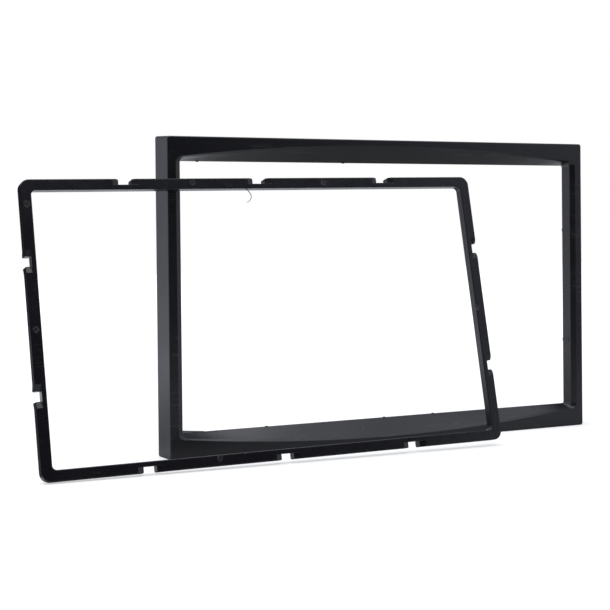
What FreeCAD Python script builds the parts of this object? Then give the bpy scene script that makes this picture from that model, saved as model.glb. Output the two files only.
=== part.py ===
import FreeCAD, Part
import math
import os
from FreeCAD import Placement, Rotation, Vector

# Double-height car radio mounting frame, in millimetres.
# A fascia frame stands upright on its lower wall. The adapter ring that goes into its
# back stands in front, askew, and leans its upper edge on the fascia's left stile.
# x runs to the right, y to the back and z up. The origin is the middle of the
# fascia's lower wall, on the surface that both pieces stand on.

# Radio opening in the fascia, with its bevel and the arched scoops above and below
OPENING_WIDTH = 178.0
OPENING_HEIGHT = 102.0
OPENING_DEPTH = 6.6
LIP_CORNER_RADIUS = 0.7
FACE_CORNER_RADIUS = 2.4
BEVEL_WIDTH = 2.0
BEVEL_DEPTH = 1.2
SCOOP_RISE = 6.8
SCOOP_END_RISE = 1.4
LIP_WALL = 1.8

# Fascia round the opening
STILE_WIDTH = 5.3
RAIL_HEIGHT = 9.0
FASCIA_DEPTH = 11.2
OUTER_WALL = 1.8
FRONT_WALL = 1.8
WALL_DRAFT = 0.5
OUTER_CORNER_RADIUS = 1.0
FRONT_EDGE_ROUND = 0.5

# Ribs in the channel behind the front, and guide ribs on the opening's side walls
RIB_THICKNESS = 1.0
RIB_DEPTH = 5.6
RAIL_RIBS = 7
RAIL_RIB_PITCH = 26.25
STILE_RIBS = 4
STILE_RIB_PITCH = 26.0
GUIDE_WIDTH = 1.3
GUIDE_HEIGHT = 0.2
GUIDE_START = 2.2
GUIDE_RAMP = 0.5

# Adapter ring, which seats on the rear edge of the opening's lip
RING_STILE_OVERLAP = 2.2
RING_RAIL_OVERLAP = 1.7
RING_THICKNESS = 3.4
RING_RAIL = 4.0
RING_CORNER_RADIUS = 3.4
RING_INNER_RADIUS = 1.6
RING_EDGE_ROUND = 0.35

# Ring notches, with ramps on both sides, and the lugs on the lip that stand in them
RAIL_NOTCH_WIDTH = 4.9
STILE_NOTCH_WIDTH = 3.6
NOTCH_DEPTH = 2.25
NOTCH_TIP_RADIUS = 0.55
RAIL_NOTCH_PITCH = 52.5
STILE_NOTCH_PITCH = 46.9
RAMP_LENGTH = 2.3
RAMP_DROP = 1.0
LUG_CLEARANCE = 0.4
LUG_SETBACK = 0.1
LUG_THICKNESS = 1.1
LUG_LENGTH = 1.5
LUG_ROOT = 1.2
LUG_TIP_CHAMFER = 0.3

# How the ring stands: it leans back, its right end comes forward and sits a little high
RING_LEAN = 12.47
RING_SWING = -1.77
RING_ROLL = 0.58
RING_LEFT_REACH = 55.85
RING_TOUCH_GAP = 0.3

FASCIA_WIDTH = OPENING_WIDTH + 2 * STILE_WIDTH
FASCIA_HEIGHT = OPENING_HEIGHT + 2 * RAIL_HEIGHT
OPENING_CENTRE_Z = FASCIA_HEIGHT / 2
RING_WIDTH = OPENING_WIDTH + 2 * RING_STILE_OVERLAP
RING_HEIGHT = OPENING_HEIGHT + 2 * RING_RAIL_OVERLAP
FRONT_Y = -FASCIA_DEPTH / 2
REAR_Y = FASCIA_DEPTH / 2
LIP_Y = FRONT_Y + OPENING_DEPTH
OVERCUT = 1.0


def line(start, end):
    return Part.LineSegment(start, end).toShape()


def arc(start, middle, end):
    return Part.Arc(start, middle, end).toShape()


def box(x_range, y_range, z_range):
    size = (x_range[1] - x_range[0], y_range[1] - y_range[0], z_range[1] - z_range[0])
    return Part.makeBox(*size, Vector(x_range[0], y_range[0], z_range[0]))


def outline(y, half_width, low, high, radius, rise=0.0, end_rise=0.0):
    """A closed outline at depth y: upright sides, rounded corners, and a top and a bottom
    that bow outwards by rise in the middle and by end_rise at the sides."""
    crown = rise - end_rise
    middle_z = (low + high) / 2
    edges = []
    corners = []
    if crown > 0:
        bow = (half_width ** 2 + crown ** 2) / (2 * crown)
        bow_centre = high + rise - bow
        corner_x = half_width - radius
        corner_z = bow_centre + math.sqrt((bow - radius) ** 2 - corner_x ** 2)
        reach = bow / (bow - radius)
        tangent_x = corner_x * reach
        tangent_z = bow_centre + (corner_z - bow_centre) * reach
    else:
        corner_x = half_width - radius
        corner_z = high + rise - radius
        tangent_x = corner_x
        tangent_z = high + rise
    turn = math.atan2(tangent_z - corner_z, tangent_x - corner_x) / 2
    bend_x = corner_x + radius * math.cos(turn)
    bend_z = corner_z + radius * math.sin(turn)
    for side_x, side_z in ((1, 1), (-1, 1), (-1, -1), (1, -1)):
        def place(x, z):
            return Vector(side_x * x, y, middle_z + side_z * (z - middle_z))
        corner = [place(half_width, corner_z), place(bend_x, bend_z), place(tangent_x, tangent_z)]
        if side_x * side_z < 0:
            corner.reverse()
        corners.append(corner)
    crest = [Vector(0, y, high + rise), None, Vector(0, y, low - rise), None]
    for index, corner in enumerate(corners):
        following = corners[(index + 1) % 4]
        edges.append(arc(*corner))
        if crest[index] is not None and crown > 0:
            edges.append(arc(corner[2], crest[index], following[0]))
        else:
            edges.append(line(corner[2], following[0]))
    return Part.Wire(edges)


def loft(*sections):
    return Part.makeLoft(list(sections), True, True)


def fascia_body(inset, y_start, y_end):
    """The drafted block inside the outer walls, set in by inset. The lower wall has no
    draft, so that the fascia stands upright on it."""
    widths = []
    tops = []
    for y in (y_start, y_end):
        draft = WALL_DRAFT * (y - FRONT_Y) / FASCIA_DEPTH
        widths.append(FASCIA_WIDTH / 2 + draft - inset)
        tops.append(FASCIA_HEIGHT + draft - inset)
    block = Part.makeWedge(
        -widths[0], y_start, inset, inset, -widths[1],
        widths[0], y_end, tops[0], tops[1], widths[1],
    )
    length = 0.99 * (y_end - y_start)
    corner_edges = [edge for edge in block.Edges if edge.BoundBox.YLength > length]
    return block.makeFillet(max(OUTER_CORNER_RADIUS - inset, 0.3), corner_edges)


def opening_form(grow, y_start, y_end):
    """The space of the opening, grown outwards by grow: bevelled sides, and above and
    below it a scoop that runs from an arch on the front face to the straight lip."""
    half_width = OPENING_WIDTH / 2 + grow
    low = OPENING_CENTRE_Z - OPENING_HEIGHT / 2 - grow
    high = OPENING_CENTRE_Z + OPENING_HEIGHT / 2 + grow
    fade = 1 - BEVEL_DEPTH / OPENING_DEPTH
    face_radius = FACE_CORNER_RADIUS + grow
    lip_radius = LIP_CORNER_RADIUS + grow
    bevel_radius = lip_radius + (face_radius - lip_radius) * fade
    face = (half_width + BEVEL_WIDTH, low, high, face_radius, SCOOP_RISE, SCOOP_END_RISE)
    bevel = (half_width, low, high, bevel_radius, SCOOP_RISE * fade, SCOOP_END_RISE * fade)
    lip = (half_width, low, high, lip_radius)
    bevel_y = FRONT_Y + BEVEL_DEPTH
    form = loft(outline(y_start, *face), outline(FRONT_Y, *face))
    parts = [
        loft(outline(FRONT_Y, *face), outline(bevel_y, *bevel)),
        loft(outline(bevel_y, *bevel), outline(LIP_Y, *lip)),
    ]
    if y_end > LIP_Y:
        parts.append(loft(outline(LIP_Y, *lip), outline(y_end, *lip)))
    return form.fuse(parts)


def channel_ribs(channel):
    """Cross ribs that join the outer wall to the opening's lip inside the channel."""
    reach = FASCIA_WIDTH
    depth = (FRONT_Y, FRONT_Y + RIB_DEPTH)
    blades = []
    for index in range(RAIL_RIBS):
        x = (index - (RAIL_RIBS - 1) / 2) * RAIL_RIB_PITCH
        span = (x - RIB_THICKNESS / 2, x + RIB_THICKNESS / 2)
        blades.append(box(span, depth, (0, reach)))
    for index in range(STILE_RIBS):
        z = OPENING_CENTRE_Z + (index - (STILE_RIBS - 1) / 2) * STILE_RIB_PITCH
        span = (z - RIB_THICKNESS / 2, z + RIB_THICKNESS / 2)
        blades.append(box((-reach, reach), depth, span))
    return [channel.common(blade) for blade in blades]


def notch_places():
    """The ring's ten notches, with the ring centred on the origin: the width of each and
    a placement whose x runs along the ring's outer edge and z points outwards from it."""
    rail_offsets = (-RAIL_NOTCH_PITCH, 0.0, RAIL_NOTCH_PITCH)
    stile_offsets = (-STILE_NOTCH_PITCH / 2, STILE_NOTCH_PITCH / 2)
    places = []
    for turn in (0, 90, 180, 270):
        on_rail = turn % 180 == 0
        edge = RING_HEIGHT / 2 if on_rail else RING_WIDTH / 2
        width = RAIL_NOTCH_WIDTH if on_rail else STILE_NOTCH_WIDTH
        spin = Rotation(Vector(0, 1, 0), turn)
        for offset in rail_offsets if on_rail else stile_offsets:
            places.append((width, Placement(spin.multVec(Vector(offset, 0, edge)), spin)))
    return places


def lip_lugs():
    """Locating lugs on the lip's rear edge, one for each notch of the ring."""
    outer = -LUG_SETBACK
    inner = outer - LUG_THICKNESS
    tip_y = LIP_Y + LUG_LENGTH
    profile = [
        (inner, LIP_Y - LUG_ROOT), (outer, LIP_Y - LUG_ROOT), (outer, tip_y - LUG_TIP_CHAMFER),
        (outer - LUG_TIP_CHAMFER, tip_y), (inner + LUG_TIP_CHAMFER, tip_y),
        (inner, tip_y - LUG_TIP_CHAMFER),
    ]
    lugs = []
    for notch_width, place in notch_places():
        width = notch_width - 2 * LUG_CLEARANCE
        points = [Vector(-width / 2, y, z) for z, y in profile]
        lug = Part.Face(Part.makePolygon(points + [points[0]])).extrude(Vector(width, 0, 0))
        lug.Placement = place
        lug.translate(Vector(0, 0, OPENING_CENTRE_Z))
        lugs.append(lug)
    return lugs


def guide_ribs():
    """Low guide ribs along the opening's side walls, in line with the side lugs."""
    start_y = FRONT_Y + GUIDE_START
    ribs = []
    for side in (-1, 1):
        wall_x = side * OPENING_WIDTH / 2
        crest_x = wall_x - side * GUIDE_HEIGHT
        root_x = wall_x + side * LIP_WALL / 2
        for offset in (-STILE_NOTCH_PITCH / 2, STILE_NOTCH_PITCH / 2):
            z = OPENING_CENTRE_Z + offset - GUIDE_WIDTH / 2
            corners = [(root_x, start_y), (wall_x, start_y), (crest_x, start_y + GUIDE_RAMP),
                       (crest_x, LIP_Y), (root_x, LIP_Y)]
            points = [Vector(x, y, z) for x, y in corners]
            profile = Part.Face(Part.makePolygon(points + [points[0]]))
            ribs.append(profile.extrude(Vector(0, 0, GUIDE_WIDTH)))
    return ribs


def fascia_frame():
    block = fascia_body(0.0, FRONT_Y, REAR_Y)
    front_edges = [edge for edge in block.Edges if edge.BoundBox.YMax < FRONT_Y + 0.01]
    block = block.makeFillet(FRONT_EDGE_ROUND, front_edges)
    hollow = fascia_body(OUTER_WALL, FRONT_Y + FRONT_WALL, REAR_Y + OVERCUT)
    channel = hollow.cut(opening_form(LIP_WALL, FRONT_Y - OVERCUT, LIP_Y))
    opening = opening_form(0.0, FRONT_Y - OVERCUT, LIP_Y + OVERCUT)
    frame = block.cut(channel).fuse(channel_ribs(channel) + lip_lugs())
    return frame.cut(opening).fuse(guide_ribs()).removeSplitter()


def ring_plate():
    half_width = RING_WIDTH / 2
    depth = Vector(0, RING_THICKNESS, 0)
    outer = outline(0, half_width, 0, RING_HEIGHT, RING_CORNER_RADIUS)
    inner = outline(0, half_width - RING_RAIL, RING_RAIL, RING_HEIGHT - RING_RAIL, RING_INNER_RADIUS)
    plate = Part.Face(outer).extrude(depth).cut(Part.Face(inner).extrude(depth))
    front_edges = [edge for edge in plate.Edges if edge.BoundBox.YMax < 0.01]
    plate = plate.makeFillet(RING_EDGE_ROUND, front_edges)
    plate.translate(Vector(0, 0, -RING_HEIGHT / 2))
    return plate


def notch_cutter(width):
    """The notch seen along y, open at the rail's outer edge, with rounded mouth corners."""
    half = width / 2
    tip = NOTCH_TIP_RADIUS
    swing = tip * math.sqrt(0.5)
    right = [
        Vector(half + tip, 0, OVERCUT), Vector(half + tip, 0, 0),
        Vector(half, 0, -tip), Vector(half, 0, -NOTCH_DEPTH),
    ]
    left = [Vector(-point.x, 0, point.z) for point in reversed(right)]
    bend = Vector(half + tip - swing, 0, swing - tip)
    edges = [
        line(right[0], right[1]), arc(right[1], bend, right[2]), line(right[2], right[3]),
        line(right[3], left[0]), line(left[0], left[1]),
        arc(left[1], Vector(-bend.x, 0, bend.z), left[2]), line(left[2], left[3]),
        line(left[3], right[0]),
    ]
    depth = RING_THICKNESS + RAMP_DROP + 2 * OVERCUT
    cutter = Part.Face(Part.Wire(edges)).extrude(Vector(0, depth, 0))
    cutter.translate(Vector(0, -OVERCUT, 0))
    return cutter


def ramp_wedge(width, side, start_y, high_z):
    """A wedge beside a notch, full depth at the notch and nothing at the ramp's far end."""
    near = side * width / 2
    far = near + side * RAMP_LENGTH
    points = [
        Vector(near, start_y, -NOTCH_DEPTH), Vector(near, start_y + RAMP_DROP, -NOTCH_DEPTH),
        Vector(far, start_y, -NOTCH_DEPTH),
    ]
    profile = Part.Face(Part.makePolygon(points + [points[0]]))
    return profile.extrude(Vector(0, 0, NOTCH_DEPTH + high_z))


def ring_flat():
    """The ring centred on the origin in x and z, with its front face at y = 0. Beside
    each notch the outer part of the rail steps back on a short ramp, front and rear."""
    recesses = []
    steps = []
    cutters = []
    for width, place in notch_places():
        shapes = [notch_cutter(width)]
        for side in (-1, 1):
            shapes.append(ramp_wedge(width, side, 0.0, OVERCUT))
            shapes.append(ramp_wedge(width, side, RING_THICKNESS, 0.0))
        for shape in shapes:
            shape.Placement = place
        cutters.append(shapes[0])
        recesses += shapes[1::2]
        steps += shapes[2::2]
    return ring_plate().cut(recesses).fuse(steps).cut(cutters).removeSplitter()


def insert_ring():
    """The ring set down on its lowest corner and leaned on the fascia's left front edge."""
    spin = Rotation(Vector(0, 0, 1), RING_SWING)
    lean = Rotation(Vector(1, 0, 0), -RING_LEAN)
    roll = Rotation(Vector(0, 1, 0), -RING_ROLL)
    pose = spin.multiply(lean).multiply(roll)
    corner = pose.multVec(Vector(-RING_WIDTH / 2, 0, -RING_HEIGHT / 2))
    ring = ring_flat()
    ring.Placement = Placement(Vector(-FASCIA_WIDTH / 2 - RING_LEFT_REACH - corner.x, 0, 0), pose)
    ends = []
    for end in (-1, 1):
        local = Vector(end * RING_WIDTH / 2, RING_THICKNESS, RING_HEIGHT / 2)
        ends.append(ring.Placement.multVec(local))
    share = (-FASCIA_WIDTH / 2 - ends[0].x) / (ends[1].x - ends[0].x)
    touch_y = ends[0].y + share * (ends[1].y - ends[0].y)
    ring.translate(Vector(0, FRONT_Y - RING_TOUCH_GAP - touch_y, -ring.BoundBox.ZMin))
    return ring


def main():
    os.makedirs("parts", exist_ok=True)
    for name, build in (("fascia_frame", fascia_frame), ("insert_ring", insert_ring)):
        shape = build()
        if shape.ShapeType != "Solid" and len(shape.Solids) == 1:
            shape = shape.Solids[0]
        shape.exportStep(os.path.join("parts", name + ".step"))
        bounds = shape.optimalBoundingBox(False, False)
        print(name, "solids", len(shape.Solids), "valid", shape.isValid(), "volume", round(shape.Volume, 1))
        print("  x", round(bounds.XMin, 2), round(bounds.XMax, 2), "y", round(bounds.YMin, 2),
              round(bounds.YMax, 2), "z", round(bounds.ZMin, 3), round(bounds.ZMax, 2))


main()
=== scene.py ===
import math
import bpy
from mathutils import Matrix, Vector


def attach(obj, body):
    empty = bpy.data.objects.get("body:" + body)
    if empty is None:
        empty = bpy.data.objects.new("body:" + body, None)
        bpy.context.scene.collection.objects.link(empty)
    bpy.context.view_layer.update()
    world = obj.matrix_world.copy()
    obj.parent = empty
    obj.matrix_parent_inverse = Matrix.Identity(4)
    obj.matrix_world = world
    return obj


# Car radio mounting frame: an upright fascia frame with its slim adapter ring leaning on it.
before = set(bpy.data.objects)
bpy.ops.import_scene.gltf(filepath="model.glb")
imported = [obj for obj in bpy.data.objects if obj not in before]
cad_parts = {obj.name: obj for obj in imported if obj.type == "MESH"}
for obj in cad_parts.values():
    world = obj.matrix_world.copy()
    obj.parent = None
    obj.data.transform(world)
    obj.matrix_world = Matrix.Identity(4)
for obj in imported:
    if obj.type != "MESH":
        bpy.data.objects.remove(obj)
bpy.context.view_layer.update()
scene = bpy.context.scene
noiseMiddle = 0.5
bevelSamples = 6
objectSpace = 3
print("frame loaded:", sorted(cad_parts))


class Wire:
    # wraps a node socket, so that shader maths reads as plain arithmetic
    def __init__(self, tree, socket=None):
        self.tree = tree
        self.socket = socket

    def plug(self, target, value):
        if isinstance(value, Wire):
            self.tree.links.new(value.socket, target)
        else:
            target.default_value = value

    def node(self, kind, sockets, output=0, **settings):
        made = self.tree.nodes.new(kind)
        for name, value in settings.items():
            setattr(made, name, value)
        for name, value in sockets.items():
            self.plug(made.inputs[name], value)
        return Wire(self.tree, made.outputs[output])

    def maths(self, operation, *values):
        return self.node("ShaderNodeMath", dict(enumerate(values)), operation=operation)

    def __add__(self, other):
        return self.maths("ADD", self, other)

    def __sub__(self, other):
        return self.maths("SUBTRACT", self, other)

    def __mul__(self, other):
        return self.maths("MULTIPLY", self, other)

    def __truediv__(self, other):
        return self.maths("DIVIDE", self, other)

    def __rsub__(self, other):
        return self.maths("SUBTRACT", other, self)

    __radd__ = __add__
    __rmul__ = __mul__

    def above(self, level):
        return self.maths("GREATER_THAN", self, level)

    def below(self, level):
        return self.maths("LESS_THAN", self, level)

    def atMost(self, level):
        return self.maths("MINIMUM", self, level)

    def atLeast(self, level):
        return self.maths("MAXIMUM", self, level)

    def size(self):
        return self.maths("ABSOLUTE", self)

    def distanceTo(self, point):
        return self.node("ShaderNodeVectorMath", {0: self, 1: point}, output=1, operation="DISTANCE")

    def along(self, direction):
        sockets = {0: self, 1: direction}
        return self.node("ShaderNodeVectorMath", sockets, output=1, operation="DOT_PRODUCT")

    def ramp(self, start, span):
        return ((self - start) / span).atLeast(0.0).atMost(1.0)

    def stretched(self, scale):
        return self.node("ShaderNodeMapping", {"Vector": self, "Scale": scale})

    def noise(self, scale, detail=2.0, roughness=0.5):
        sockets = {"Vector": self, "Scale": scale, "Detail": detail, "Roughness": roughness}
        return self.node("ShaderNodeTexNoise", sockets)

    def hairlines(self, scale, width):
        # short straight scratches: thin bands of a noise that is long one way
        lines = self.stretched(scale).noise(scale=1.0, detail=1.0)
        return (lines - noiseMiddle).size().below(width)

    def specks(self, cells, size, clumps, share):
        # small dots, only where a coarser noise is high
        dots = self.node("ShaderNodeTexVoronoi", {"Vector": self, "Scale": cells}).below(size)
        return dots * self.noise(clumps).above(share)

    def blend(self, low, high):
        low, high = [shade if isinstance(shade, Wire) else (*shade, 1) for shade in (low, high)]
        return self.node("ShaderNodeMix", {0: self, 6: low, 7: high}, output=2, data_type="RGBA")


class Plastic:
    # a material and its shader, dressed with a colour, a roughness and a height for its bump
    def __init__(self, name, ior):
        self.material = bpy.data.materials.new(name)
        self.material.use_nodes = True
        self.tree = self.material.node_tree
        self.shader = self.tree.nodes["Principled BSDF"]
        self.shader.inputs["IOR"].default_value = ior
        self.place = Wire(self.tree).node("ShaderNodeTexCoord", {}, output=objectSpace)

    def dress(self, base, roughness, height, edgeRound=0.0):
        sockets = {"Height": height, "Distance": 1.0, "Strength": 1.0}
        if edgeRound:
            rounded = base.node("ShaderNodeBevel", {"Radius": edgeRound}, samples=bevelSamples)
            sockets["Normal"] = rounded
        self.base = base
        self.bump = base.node("ShaderNodeBump", sockets)
        base.plug(self.shader.inputs["Base Color"], base)
        base.plug(self.shader.inputs["Roughness"], roughness)
        base.plug(self.shader.inputs["Normal"], self.bump)

    def dull(self, share, roughness):
        # mixes in the same plastic without its sheen, where share is above zero
        sockets = {"Base Color": self.base, "Normal": self.bump, "Roughness": roughness,
                   "Specular IOR Level": 0.0}
        matt = share.node("ShaderNodeBsdfPrincipled", sockets)
        sheen = Wire(self.tree, self.shader.outputs["BSDF"])
        mixed = share.node("ShaderNodeMixShader", {0: share, 1: sheen, 2: matt})
        share.plug(self.tree.nodes["Material Output"].inputs["Surface"], mixed)


def dressNode(name, material):
    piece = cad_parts[name]
    for slot in piece.material_slots:
        slot.material = material


def dressSmallPiece(piece, spec):
    # plain black plastic with a fine grain, for what is too small to show more
    plastic = Plastic(spec["finish"], spec["ior"])
    grain = plastic.place.noise(spec["grain"])
    cloud = plastic.place.noise(spec["cloud"])
    roughness = spec["roughness"] + grain * spec["grainGloss"]
    plastic.dress(cloud.blend(*spec["shade"]), roughness, grain * spec["grainDepth"])
    piece.data.materials.append(plastic.material)
    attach(piece, "root")


# Camera: it stands left of the object's front, level with its upper half
camera = {
    "place": (-0.28524, -0.49849, 0.08624),
    "turn": (89.274, 0.568, -26.664),
    "lens": 84.318,
    "shift": (-0.00082, -0.09982),
    "sensor": 36,
    "clipStart": 0.01,
}


def placeCamera(spec):
    data = bpy.data.cameras.new("camera")
    data.sensor_width = spec["sensor"]
    data.lens = spec["lens"]
    data.shift_x, data.shift_y = spec["shift"]
    data.clip_start = spec["clipStart"]
    body = bpy.data.objects.new("camera", data)
    body.location = spec["place"]
    body.rotation_euler = [math.radians(angle) for angle in spec["turn"]]
    scene.collection.objects.link(body)
    scene.camera = body


placeCamera(camera)
print("camera placed")


# Fascia: satin black plastic with a fine moulded grain, rubbed here and there
fasciaLook = {
    "shade": ((0.0034, 0.0033, 0.0054), (0.0055, 0.0054, 0.0082)),
    "dust": (0.16, 0.16, 0.165),
    "scratchShade": (0.020, 0.020, 0.021),
    "ior": 1.5,
    "roughness": 0.34,
    "grain": (3600.0, 3.0, 0.6),
    "grainDepth": 0.000010,
    "grainGloss": 0.12,
    "cloud": (55.0, 4.0, 0.6),
    "cloudGloss": 0.12,
    "flowStretch": (18.0, 90.0, 90.0),
    "flow": (1.0, 3.0, 0.55),
    "flowDepth": 0.00005,
    "scratches": ((9.0, 300.0, 900.0), 0.012),
    "scratchPatches": (60.0, 0.54),
    "scratchDepth": 0.000008,
    "scratchGloss": 0.1,
    "specks": (210.0, 0.045, 735.0, 0.60),
    "speckGloss": 0.3,
    "edgeRound": 0.00022,
}


def dressFascia(spec):
    plastic = Plastic("fascia_satin_black", spec["ior"])
    place = plastic.place
    grain = place.noise(*spec["grain"])
    cloud = place.noise(*spec["cloud"])
    flow = place.stretched(spec["flowStretch"]).noise(*spec["flow"])
    patches, share = spec["scratchPatches"]
    scratches = place.hairlines(*spec["scratches"]) * place.noise(patches).above(share)
    specks = place.specks(*spec["specks"])
    base = cloud.blend(*spec["shade"])
    base = scratches.blend(base, spec["scratchShade"])
    base = specks.blend(base, spec["dust"])
    roughness = spec["roughness"] + (cloud - noiseMiddle) * spec["cloudGloss"]
    roughness = roughness + specks * spec["speckGloss"]
    roughness = roughness + (grain - noiseMiddle) * spec["grainGloss"]
    roughness = roughness + scratches * spec["scratchGloss"]
    height = grain * spec["grainDepth"] + flow * spec["flowDepth"] - scratches * spec["scratchDepth"]
    plastic.dress(base, roughness, height, spec["edgeRound"])
    dressNode("fascia_frame", plastic.material)


dressFascia(fasciaLook)
print("fascia dressed")


# Ring: smoother black plastic, a little wavy, with the bent, smeared marks of the ejector pins,
# painted lighter as a painted glint on their dimples and rims.
# Its outer side walls are duller. across runs from its left side wall to its right one.
ringLook = {
    "shade": ((0.0042, 0.0041, 0.0062), (0.0066, 0.0065, 0.0092)),
    "dust": (0.20, 0.20, 0.205),
    "scratchShade": (0.011, 0.011, 0.013),
    "ior": 1.47,
    "roughness": 0.26,
    "grain": (2500.0, 3.0, 0.6),
    "grainDepth": 0.000004,
    "grainGloss": 0.06,
    "cloud": (70.0, 4.0, 0.6),
    "cloudGloss": 0.14,
    "wave": (110.0, 2.0, 0.5),
    "waveDepth": 0.00011,
    "scratches": ((40.0, 367.0, 1100.0), 0.010),
    "scratchPatches": (120.0, 0.60),
    "scratchDepth": 0.000004,
    "scratchGloss": 0.06,
    "specks": (260.0, 0.05, 910.0, 0.58),
    "speckGloss": 0.3,
    "pins": (
        (-0.08624, -0.00982, 0.10258), (-0.03256, -0.01145, 0.10272), (-0.14838, -0.00959, 0.09494),
        (-0.14833, -0.01918, 0.05159), (-0.08579, -0.03165, 0.00397), (0.02859, -0.02429, 0.05324),
    ),
    "pinRadius": 0.00105,
    # the pin marks' lighter colour is partly real mark and partly a painted glint
    "pinMarkGlintShade": (0.036, 0.036, 0.040),
    "pinBend": (650.0, 2.0, 0.5),
    "pinBendReach": 1.2,
    "pinRimSharpness": 5.0,
    "pinGlintSmear": (1500.0, 3.0, 0.6),
    "pinGlintSmearShare": 0.52,
    "pinMix": (0.15, 0.85, 0.6),
    "pinDepth": 0.00002,
    "pinRimDepth": 0.00004,
    "pinGloss": 0.08,
    "across": (0.99954, -0.02870, 0.00988),
    "middle": -0.0580,
    "dullStart": 0.09095,
    "dullShare": (0.72, 0.25),
    "dullRoughness": 0.6,
    "edgeRound": 0.00018,
}


def dressRing(spec):
    plastic = Plastic("ring_gloss_black", spec["ior"])
    place = plastic.place
    grain = place.noise(*spec["grain"])
    cloud = place.noise(*spec["cloud"])
    wave = place.noise(*spec["wave"])
    nearest = place.distanceTo(spec["pins"][0])
    for pin in spec["pins"][1:]:
        nearest = nearest.atMost(place.distanceTo(pin))
    bend = (place.noise(*spec["pinBend"]) - noiseMiddle) * spec["pinBendReach"]
    reach = nearest / spec["pinRadius"] + bend
    pins = reach.below(1.0)
    rim = (1 - (reach - 1.0).size() * spec["pinRimSharpness"]).atLeast(0.0)
    glintSmear = place.noise(*spec["pinGlintSmear"]).above(spec["pinGlintSmearShare"])
    plain, smeared, edge = spec["pinMix"]
    # pin marks, partly painted glint: the smeared patches and rims are painted lighter for light
    # caught by the dimples
    marksAndGlints = (pins * (plain + glintSmear * smeared) + rim * glintSmear * edge).atMost(1.0)
    patches, share = spec["scratchPatches"]
    scratches = place.hairlines(*spec["scratches"]) * place.noise(patches).above(share)
    specks = place.specks(*spec["specks"])
    base = marksAndGlints.blend(cloud.blend(*spec["shade"]), spec["pinMarkGlintShade"])
    base = scratches.blend(base, spec["scratchShade"])
    base = specks.blend(base, spec["dust"])
    roughness = spec["roughness"] + (cloud - noiseMiddle) * spec["cloudGloss"]
    roughness = roughness + specks * spec["speckGloss"]
    roughness = roughness + (grain - noiseMiddle) * spec["grainGloss"]
    roughness = roughness + pins * spec["pinGloss"] + scratches * spec["scratchGloss"]
    height = grain * spec["grainDepth"] + wave * spec["waveDepth"] - scratches * spec["scratchDepth"]
    height = height - pins * spec["pinDepth"] + rim * spec["pinRimDepth"]
    plastic.dress(base, roughness, height, spec["edgeRound"])
    sideWall = (place.along(spec["across"]) - spec["middle"]).size().above(spec["dullStart"])
    least, extra = spec["dullShare"]
    plastic.dull(sideWall * (least + cloud * extra), spec["dullRoughness"])
    dressNode("insert_ring", plastic.material)


dressRing(ringLook)
print("ring dressed")


# A curl of swarf that hangs from the inner edge of the ring's upper rail
swarf = {
    "path": ((-0.0655, -0.0097, 0.10110), (-0.0636, -0.01015, 0.09930), (-0.0629, -0.01064, 0.09752),
             (-0.06359, -0.01084, 0.09603), (-0.06508, -0.01078, 0.09519)),
    "thickness": (1.5, 1.1, 1.0, 0.8, 0.35),
    "radius": 0.00014,
    "roundSteps": 3,
    "lengthSteps": 10,
    "finish": "swarf_dark",
    "shade": ((0.018, 0.018, 0.019), (0.05, 0.05, 0.052)),
    "ior": 1.47,
    "roughness": 0.35,
    "grain": 4000.0,
    "grainDepth": 0.00002,
    "grainGloss": 0.2,
    "cloud": 900.0,
}


def makeSwarf(spec):
    bpy.ops.object.select_all(action="DESELECT")
    bpy.ops.curve.primitive_bezier_curve_add(location=(0, 0, 0))
    curl = bpy.context.object
    spline = curl.data.splines[0]
    spline.bezier_points.add(len(spec["path"]) - 2)
    for knot, place, thickness in zip(spline.bezier_points, spec["path"], spec["thickness"]):
        knot.co = place
        knot.handle_left_type = knot.handle_right_type = "AUTO"
        knot.radius = thickness
    curl.data.bevel_depth = spec["radius"]
    curl.data.bevel_resolution = spec["roundSteps"]
    curl.data.resolution_u = spec["lengthSteps"]
    curl.data.use_fill_caps = True
    bpy.ops.object.convert(target="MESH")
    curl = bpy.context.object
    curl.name = "swarf_curl"
    bpy.ops.object.shade_smooth()
    dressSmallPiece(curl, spec)


makeSwarf(swarf)
print("swarf made")


# A thin fin of mould flash in the lower left corner of the opening's rear edge. Its pale grey is
# painted light, standing in for light shining through the thin plastic.
flash = {
    "corner": (-0.0889, 0.0009, 0.0089),
    "length": 0.0108,
    "height": 0.0011,
    "endHeight": 0.0002,
    "thickness": 0.00016,
    "cuts": 9,
    "ragged": 0.25,
    "seed": 3,
    "finish": "flash_painted_backlight",
    # pale grey: painted light through the thin fin, not the plastic's own colour
    "shade": ((0.16, 0.16, 0.165), (0.34, 0.34, 0.345)),
    "ior": 1.47,
    "roughness": 0.4,
    "grain": 2500.0,
    "grainDepth": 0.00002,
    "grainGloss": 0.2,
    "cloud": 700.0,
}


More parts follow.
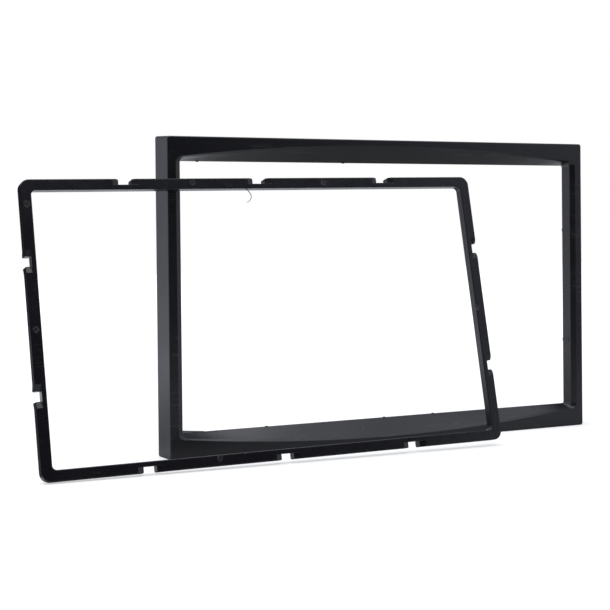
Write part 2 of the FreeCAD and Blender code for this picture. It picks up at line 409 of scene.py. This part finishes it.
def makeFlash(spec):
    # an upright sheet, pulled down at its far end, with a ragged edge
    bpy.ops.object.select_all(action="DESELECT")
    x, y, z = spec["corner"]
    middle = (x + spec["length"] / 2, y, z + spec["height"] / 2)
    bpy.ops.mesh.primitive_plane_add(size=1.0, location=middle, rotation=(math.radians(90), 0, 0))
    fin = bpy.context.object
    fin.name = "mould_flash"
    fin.scale = (spec["length"], spec["height"], 1)
    bpy.ops.object.transform_apply(location=True, rotation=True, scale=True)
    bpy.ops.object.mode_set(mode="EDIT")
    bpy.ops.mesh.select_mode(type="VERT")
    bpy.ops.mesh.select_all(action="DESELECT")
    bpy.ops.object.mode_set(mode="OBJECT")
    for corner in fin.data.vertices:
        corner.select = corner.co.x > middle[0] and corner.co.z > middle[2]
    bpy.ops.object.mode_set(mode="EDIT")
    bpy.ops.transform.translate(value=(0, 0, spec["endHeight"] - spec["height"]))
    bpy.ops.mesh.select_all(action="SELECT")
    bpy.ops.mesh.subdivide(number_cuts=spec["cuts"], fractal=spec["ragged"], seed=spec["seed"])
    bpy.ops.object.mode_set(mode="OBJECT")
    sheet = fin.modifiers.new("sheet", "SOLIDIFY")
    sheet.thickness = spec["thickness"]
    bpy.ops.object.modifier_apply(modifier="sheet")
    dressSmallPiece(fin, spec)


makeFlash(flash)
print("flash made")


# Small nubs left on the lip's rear edge, above and below: place along x and side of the opening
nubs = {
    "places": ((-0.0521, -1), (0.0001, -1), (0.0230, -1), (-0.0175, 1), (-0.0799, 1)),
    "depth": 0.0010,
    "middle": 0.0600,
    "reach": 0.05115,
    "size": (0.0011, 0.0007, 0.0007),
    "edgeRound": 0.00020,
    "edgeSegments": 3,
    "finish": "nub_plastic",
    "shade": ((0.006, 0.006, 0.007), (0.012, 0.012, 0.013)),
    "ior": 1.5,
    "roughness": 0.4,
    "grain": 3500.0,
    "grainDepth": 0.00002,
    "grainGloss": 0.2,
    "cloud": 800.0,
}


def makeNubs(spec):
    # one rounded nub, copied to the other places and joined
    bpy.ops.object.select_all(action="DESELECT")
    spots = [Vector((x, spec["depth"], spec["middle"] + side * spec["reach"]))
             for x, side in spec["places"]]
    bpy.ops.mesh.primitive_cube_add(size=1.0, location=spots[0], scale=spec["size"])
    nub = bpy.context.object
    nub.name = "lip_nubs"
    bpy.ops.object.transform_apply(location=True, scale=True)
    rounding = nub.modifiers.new("rounding", "BEVEL")
    rounding.width = spec["edgeRound"]
    rounding.segments = spec["edgeSegments"]
    bpy.ops.object.modifier_apply(modifier="rounding")
    bpy.ops.object.shade_smooth()
    bpy.ops.object.mode_set(mode="EDIT")
    bpy.ops.mesh.select_all(action="SELECT")
    for last, spot in zip(spots, spots[1:]):
        bpy.ops.mesh.duplicate()
        bpy.ops.transform.translate(value=spot - last)
    bpy.ops.object.mode_set(mode="OBJECT")
    dressSmallPiece(nub, spec)


makeNubs(nubs)
print("nubs made")


# Studio: a white floor and surround, a broad soft lamp overhead, and cards that only gloss
# shows. In gloss the floor glows in a strip behind the pieces, which fades farther back.
studio = {
    "floorSize": 4.0,
    "floorShade": (0.515, 0.53, 0.565),
    "floorLift": (0.51, 0.84),
    "floorFade": (0.3, 0.7),
    "floorGlow": 1.3,
    "glowFade": (0.15, 0.06),
    "glowEnd": (0.24, 0.08),
    "glowLoss": 0.8,
    "plainRoughness": 0.9,
    "surround": 0.55,
    "reflected": (0.69, 0.725, 0.83),
}
toBack = (0, 1, 0)
white = (1, 1, 1)
dark = (0.02, 0.02, 0.02)
pale = (0.40, 0.40, 0.40)
# grey of the card that paints shade on the floor behind the pieces
shadeGrey = (0.36, 0.37, 0.39)
noGlow = (0, 0, 0)

# Each card: name, middle, width and height, tilt, shade and glow
cards = (
    # The first card is painted shade: a grey card on the floor just behind the pieces, seen only in
    # gloss, standing in for the soft shade there.
    ("card_painted_shade_behind", (0.0, 0.09, 0.001), (0.60, 0.14), 0, shadeGrey, noGlow),
    ("card_front", (-0.45, -1.2, 0.15), (2.30, 1.30), 90, dark, noGlow),
    ("card_floor", (-0.30, -0.70, 0.001), (2.20, 1.00), 0, dark, noGlow),
    ("card_back_left", (-0.25, 1.2, 0.33), (0.62, 0.86), 90, dark, noGlow),
    ("card_back_high", (1.375, 1.2, 1.075), (2.05, 1.25), 90, dark, noGlow),
    ("card_back_right", (1.590, 1.2, 0.28), (1.62, 0.36), 90, dark, noGlow),
    ("card_white_left", (-0.94, 1.2, 0.40), (0.72, 1.00), 90, pale, (0.55, 0.58, 0.68)),
)
lamps = (
    {"name": "lamp_over", "place": (-0.24, 0.10, 1.40), "aim": (-0.24, 0.10, 0), "size": 2.2,
     "watts": 20.5, "inGloss": True},
    {"name": "lamp_left", "place": (-1.30, 0.50, 0.70), "aim": (0, 0, 0.05), "size": 0.8,
     "watts": 3.0, "inGloss": False},
)


def rayKinds(tree):
    outputs = Wire(tree).node("ShaderNodeLightPath", {}).socket.node.outputs
    names = ("Is Camera Ray", "Is Glossy Ray", "Is Transmission Ray")
    return [Wire(tree, outputs[name]) for name in names]


def makeSurround(spec):
    # white to the camera, softer where it lights the pieces or shows in their gloss
    world = bpy.data.worlds.new("surround")
    scene.world = world
    world.use_nodes = True
    tree = world.node_tree
    camera, glossy, through = rayKinds(tree)
    lit = glossy.blend((spec["surround"],) * 3, spec["reflected"])
    seen = (camera + through).atMost(1.0)
    seen.plug(tree.nodes["Background"].inputs["Color"], seen.blend(lit, white))


def makePlainMaterial(name, shade):
    material = bpy.data.materials.new(name)
    material.use_nodes = True
    shader = material.node_tree.nodes["Principled BSDF"]
    shader.inputs["Base Color"].default_value = (*shade, 1)
    shader.inputs["Roughness"].default_value = studio["plainRoughness"]
    shader.inputs["Specular IOR Level"].default_value = 0.0
    shader.inputs["Emission Strength"].default_value = 1.0
    return material, shader


def makeFloor(spec):
    # lifted to white for the camera, more so far off, where the lamps hardly reach
    middle = (0, 0, 0)
    bpy.ops.mesh.primitive_plane_add(size=spec["floorSize"], location=middle)
    floor = bpy.context.object
    floor.name = "floor"
    material, shader = makePlainMaterial("floor_white", spec["floorShade"])
    camera, glossy, through = rayKinds(material.node_tree)
    place = camera.node("ShaderNodeTexCoord", {}, output=objectSpace)
    far = place.distanceTo(middle).ramp(*spec["floorFade"])
    near, distant = spec["floorLift"]
    lift = (near + far * (distant - near)) * (camera + through)
    depth = place.along(toBack)
    behind = depth.ramp(*spec["glowFade"])
    beyond = depth.ramp(*spec["glowEnd"]).atMost(spec["glowLoss"])
    glow = behind * (1 - beyond) * glossy * spec["floorGlow"]
    place.plug(shader.inputs["Emission Color"], glow.blend(lift, spec["reflected"]))
    floor.data.materials.append(material)


def makeCard(name, middle, size, tilt, shade, glow):
    bpy.ops.mesh.primitive_plane_add(size=1.0, location=middle, rotation=(math.radians(tilt), 0, 0))
    card = bpy.context.object
    card.name = name
    card.scale = (*size, 1)
    bpy.ops.object.transform_apply(location=True, rotation=True, scale=True)
    material, shader = makePlainMaterial(name, shade)
    shader.inputs["Emission Color"].default_value = (*glow, 1)
    card.data.materials.append(material)
    card.visible_camera = False
    card.visible_shadow = False
    card.visible_diffuse = False
    card.visible_transmission = False


def addSoftLamp(spec):
    data = bpy.data.lights.new(spec["name"], "AREA")
    data.shape = "DISK"
    data.size = spec["size"]
    data.energy = spec["watts"]
    lamp = bpy.data.objects.new(spec["name"], data)
    lamp.location = spec["place"]
    aim = Vector(spec["aim"]) - Vector(spec["place"])
    lamp.rotation_euler = aim.to_track_quat("-Z", "Y").to_euler()
    lamp.visible_camera = False
    lamp.visible_glossy = spec["inGloss"]
    scene.collection.objects.link(lamp)


bpy.ops.object.select_all(action="DESELECT")
makeSurround(studio)
makeFloor(studio)
for cardSpec in cards:
    makeCard(*cardSpec)
for lampSpec in lamps:
    addSoftLamp(lampSpec)
print("studio lit")

scene.view_settings.view_transform = "Standard"
